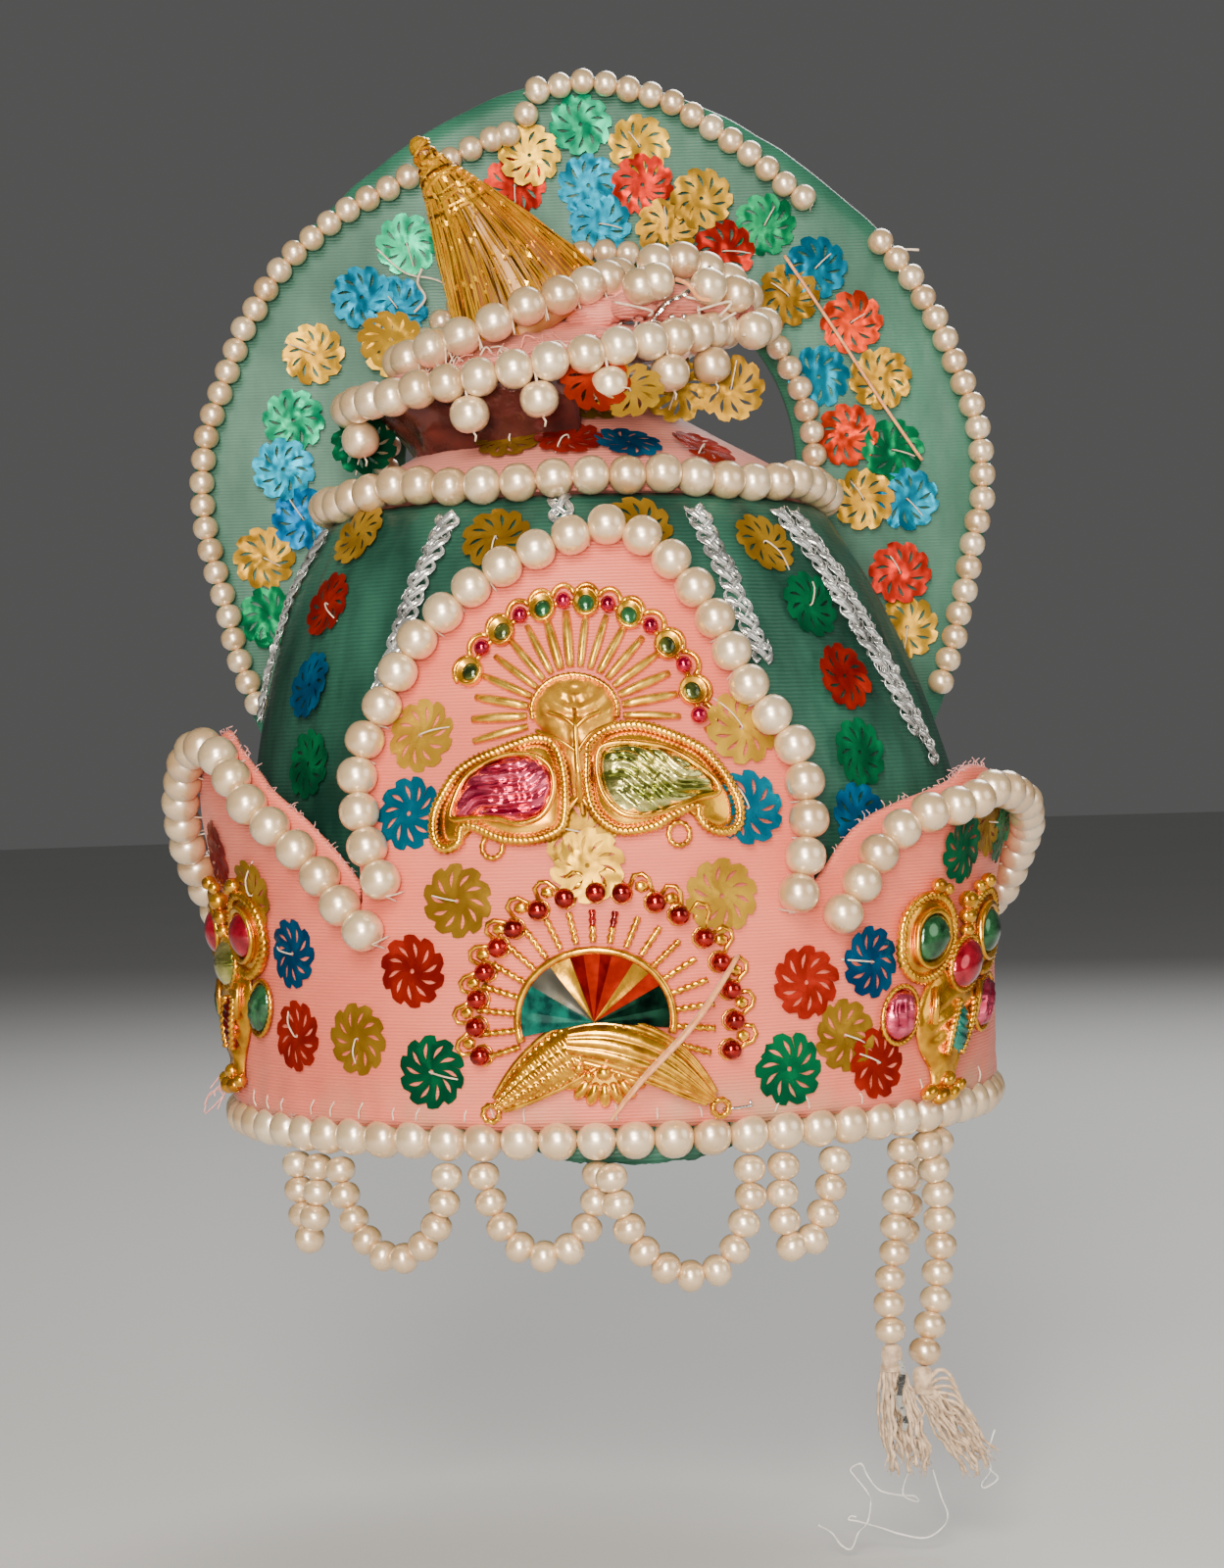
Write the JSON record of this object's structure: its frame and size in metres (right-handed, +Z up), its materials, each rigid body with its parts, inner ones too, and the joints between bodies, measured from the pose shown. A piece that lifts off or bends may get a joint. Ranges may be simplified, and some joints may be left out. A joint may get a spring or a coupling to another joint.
{
  "type": "costume crown",
  "caption": "Satin costume crown with a petal-edged band, domed top, upright ring halo, tilted cap with cone finial, brooches and pearl strings hanging below the rim.",
  "frame": {"origin": "middle of the rim's row of pearls, where the crown sits on a head", "axes": "+Z up, -Y is the front with the petal and the two brooches, +X is the wearer's left"},
  "size_m": [0.1883, 0.1814, 0.3042],
  "materials": {
    "pink_satin": "ribbed pink satin, worn at the edges",
    "green_satin": "dark green satin",
    "halo_satin": "lighter sea-green satin",
    "pearl": "cream imitation pearl lustre",
    "gold_metal": "polished stamped gold-coloured metal",
    "gold_tinsel": "wound gold tinsel thread",
    "silver_foil": "crumpled silver foil braid",
    "sequin_blue": "transparent metallic foil",
    "sequin_red": "transparent metallic foil",
    "sequin_green": "transparent metallic foil",
    "sequin_gold": "transparent metallic foil",
    "gem": "foil-backed faceted glass and enamel",
    "cream_thread": "frayed cotton and nylon thread"
  },
  "bodies": {
    "root": {"band_shell": "pink_satin", "dome_shell": "green_satin", "top_cone": "pink_satin", "halo_plate": "halo_satin", "cap_shell": "pink_satin", "finial_cone": "gold_tinsel", "pearls_rim": "pearl", "pearls_tier": "pearl", "pearls_front_edge": "pearl", "pearls_right_edge": "pearl", "pearls_back_edge": "pearl", "pearls_left_edge": "pearl", "pearls_halo_left": "pearl", "pearls_halo_top": "pearl", "pearls_halo_right": "pearl", "pearls_halo_hole": "pearl", "pearls_cap_rim": "pearl", "pearls_cap_top": "pearl", "hanging_pearl_1": "pearl", "hanging_pearl_2": "pearl", "hanging_pearl_3": "pearl", "hanging_pearl_4": "pearl", "hanging_pearl_5": "pearl", "hanging_pearl_6": "pearl", "pearl_loop_1": "pearl", "pearl_loop_2": "pearl", "pearl_loop_3": "pearl", "pearl_loop_4": "pearl", "pearl_loop_5": "pearl", "pearl_strand_1": "pearl", "pearl_strand_2": "pearl", "pearl_strand_3": "pearl", "thread_tassel_1": "cream_thread", "thread_tassel_2": "cream_thread", "foil_braid_1": "silver_foil", "foil_braid_2": "silver_foil", "foil_braid_3": "silver_foil", "foil_braid_4": "silver_foil", "foil_braid_5": "silver_foil", "foil_braid_6": "silver_foil", "foil_braid_7": "silver_foil", "foil_braid_8": "silver_foil", "brooch_fan": "gold_metal", "brooch_swag": "gold_metal", "brooch_right": "gold_metal", "brooch_left": "gold_metal", "sequin_1": "sequin_blue", "sequin_2": "sequin_red", "sequin_3": "sequin_gold", "sequin_4": "sequin_red", "sequin_5": "sequin_green", "sequin_6": "sequin_gold", "sequin_7": "sequin_blue", "sequin_8": "sequin_gold", "sequin_9": "sequin_red", "sequin_10": "sequin_blue", "sequin_11": "sequin_gold", "sequin_12": "sequin_green", "sequin_13": "sequin_red"}
  },
  "joints": []
}
